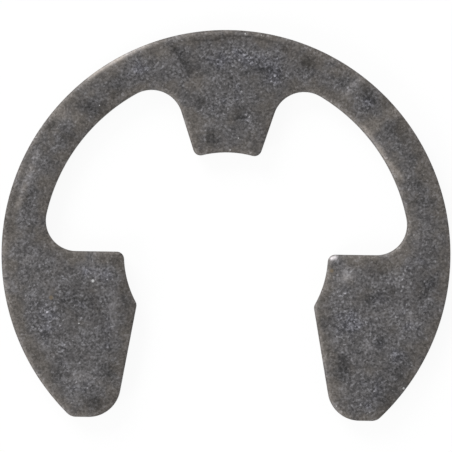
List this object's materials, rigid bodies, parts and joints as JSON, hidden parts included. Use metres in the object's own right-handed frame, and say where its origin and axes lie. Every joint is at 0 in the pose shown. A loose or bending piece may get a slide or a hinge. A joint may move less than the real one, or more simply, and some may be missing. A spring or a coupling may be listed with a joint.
{
  "type": "e clip",
  "caption": "Flat E-shaped retaining ring. Its flared mouth snaps sideways over a grooved shaft, and its inward prongs seat on the groove's floor.",
  "frame": {"origin": "on the axis of the shaft that the ring grips, in the plane of the ring's lower face", "axes": "+Z along the shaft's axis, out of the ring's upper face, which has the rolled edge; +Y from the mouth towards the middle prong and the crown; +X across the two feet"},
  "size_m": [0.0168, 0.0145, 0.0009],
  "materials": {
    "e_clip": "matte"
  },
  "bodies": {
    "root": {"e_clip": "e_clip"}
  },
  "joints": []
}
